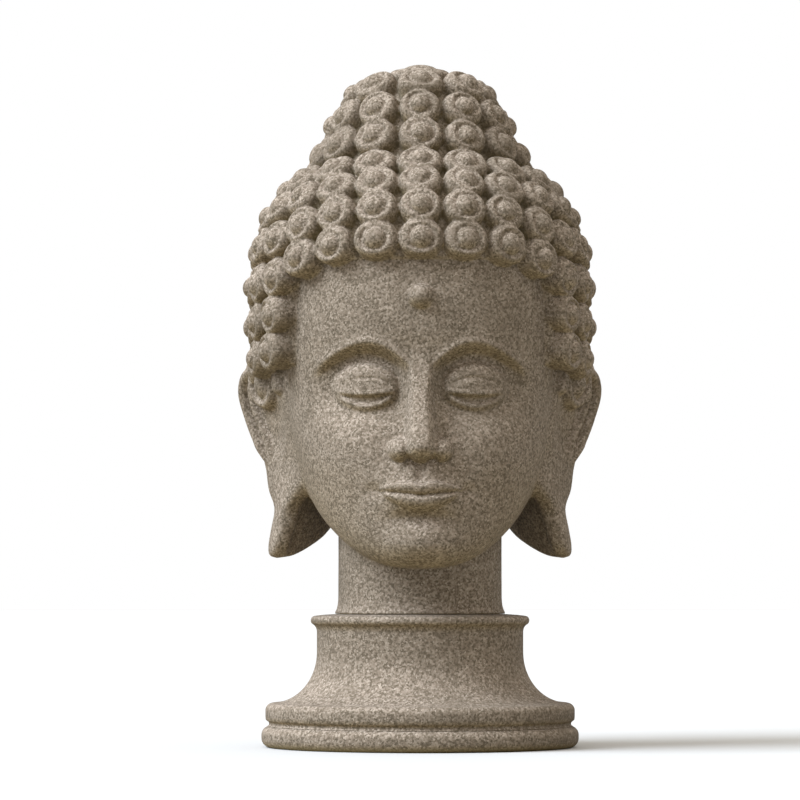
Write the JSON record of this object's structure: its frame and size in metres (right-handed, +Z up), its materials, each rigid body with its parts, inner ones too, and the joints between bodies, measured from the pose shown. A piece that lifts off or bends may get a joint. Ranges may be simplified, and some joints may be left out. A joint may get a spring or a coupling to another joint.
{
  "type": "stone buddha head on a socle",
  "caption": "Stone buddha head with rows of knobbed curls, a topknot mound, long ear lobes and a plain neck, on a turned round socle.",
  "frame": {"origin": "centre of the socle's flat underside", "axes": "+Z up through the socle and neck, -Y the way the face looks, +X to the right of someone who looks at the face"},
  "size_m": [0.2252, 0.232, 0.4201],
  "materials": {
    "head_stone": "matt, granular",
    "socle_stone": "matt, granular"
  },
  "bodies": {
    "root": {"buddha_head": "head_stone", "socle": "socle_stone"}
  },
  "joints": []
}
